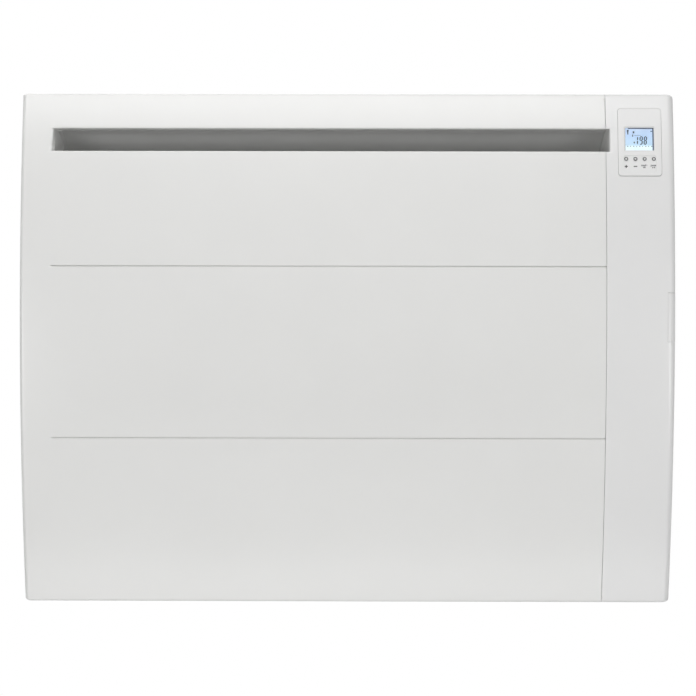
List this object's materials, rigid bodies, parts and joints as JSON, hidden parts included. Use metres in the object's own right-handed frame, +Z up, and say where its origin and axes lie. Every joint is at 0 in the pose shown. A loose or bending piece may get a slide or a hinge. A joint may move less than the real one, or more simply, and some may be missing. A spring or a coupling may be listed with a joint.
{
  "type": "electric radiator",
  "caption": "Wall-hung electric radiator with a bowed steel front, a warm air outlet slot and a control column with a small lit display and keys.",
  "frame": {"origin": "on the wall plane, at the centre of the four wall screws, which is behind the middle of the casing", "axes": "+X to the right along the casing's width as seen from the front, +Y into the wall, +Z up; the front faces -Y"},
  "size_m": [0.7435, 0.108, 0.5818],
  "materials": {
    "painted_steel": "satin",
    "white_plastic": "satin",
    "galvanised_steel": "dull",
    "zinc_screws": "satin",
    "bright_aluminium": "satin",
    "element_steel": "satin",
    "ceramic": "matt",
    "phenolic": "matt",
    "black_rubber": "matt",
    "red_wire": "satin",
    "blue_wire": "satin",
    "black_wire": "satin",
    "clear_window": "polished",
    "lcd_face": "gloss",
    "lcd_light": "gloss",
    "dark_plastic": "matt",
    "rocker_black": "gloss",
    "key_grey": "satin",
    "plunger_white": "matt",
    "circuit_board": "satin",
    "relay_blue": "satin",
    "transformer_yellow": "satin",
    "capacitor_black": "satin",
    "terminal_green": "satin",
    "ribbon_grey": "satin"
  },
  "bodies": {
    "wall_rails": {"upper_wall_rail": "galvanised_steel", "lower_wall_rail": "galvanised_steel"},
    "plus_key": {"key_plus": "key_grey", "plunger_plus": "plunger_white"},
    "minus_key": {"key_minus": "key_grey", "plunger_minus": "plunger_white"},
    "mode_key": {"key_mode": "key_grey", "plunger_mode": "plunger_white"},
    "set_key": {"key_set": "key_grey", "plunger_set": "plunger_white"},
    "power_rocker": {"switch_rocker": "rocker_black"},
    "casing": {"front_panel": "painted_steel", "air_deflector": "painted_steel", "deflector_end_plate": "painted_steel", "outlet_end_wall": "painted_steel", "inlet_grille": "painted_steel", "control_cover": "white_plastic", "control_bezel": "white_plastic", "side_switch_plate": "white_plastic", "back_panel": "galvanised_steel", "control_partition": "galvanised_steel", "element_brackets": "galvanised_steel", "casing_screws": "zinc_screws", "cover_screws": "zinc_screws", "bracket_screws": "zinc_screws", "cutout_screws": "zinc_screws", "display_board_screws": "zinc_screws", "board_tray_screws": "zinc_screws", "terminal_screws": "zinc_screws", "heat_shield": "bright_aluminium", "element_fins": "bright_aluminium", "element_rod": "element_steel", "element_pins": "element_steel", "element_bushes": "ceramic", "thermal_cutout": "phenolic", "wire_grommet": "black_rubber", "element_lead": "red_wire", "cutout_lead": "blue_wire", "return_lead": "blue_wire", "switch_leads": "black_wire", "sensor_lead": "black_wire", "lcd_window": "clear_window", "lcd_cell": "lcd_face", "lcd_backlight": "lcd_light", "lcd_holder": "dark_plastic", "key_switches": "dark_plastic", "board_tray": "dark_plastic", "switch_housing": "dark_plastic", "cable_gland": "dark_plastic", "gland_nut": "dark_plastic", "sensor_clip": "dark_plastic", "room_sensor": "dark_plastic", "display_board": "circuit_board", "power_board": "circuit_board", "power_relay": "relay_blue", "power_transformer": "transformer_yellow", "capacitors": "capacitor_black", "terminal_block": "terminal_green", "display_ribbon": "ribbon_grey"}
  },
  "joints": [
    {"name": "lift_off", "type": "slide", "parent": "wall_rails", "child": "casing", "axis": [0, 0, 1], "range_m": [0, 0.014]},
    {"name": "plus_press", "type": "slide", "parent": "casing", "child": "plus_key", "axis": [0, 0.9946, -0.1039], "range_m": [0, 0.0006], "stiffness_N_per_m": 1500},
    {"name": "minus_press", "type": "slide", "parent": "casing", "child": "minus_key", "axis": [0, 0.9946, -0.1039], "range_m": [0, 0.0006], "stiffness_N_per_m": 1500},
    {"name": "mode_press", "type": "slide", "parent": "casing", "child": "mode_key", "axis": [0, 0.9946, -0.1039], "range_m": [0, 0.0006], "stiffness_N_per_m": 1500},
    {"name": "set_press", "type": "slide", "parent": "casing", "child": "set_key", "axis": [0, 0.9946, -0.1039], "range_m": [0, 0.0006], "stiffness_N_per_m": 1500},
    {"name": "power_rock", "type": "hinge", "parent": "casing", "child": "power_rocker", "pos_m": [0.3657, -0.075, 0.0365], "axis": [0, 1, 0], "range_deg": [0, 16]}
  ]
}
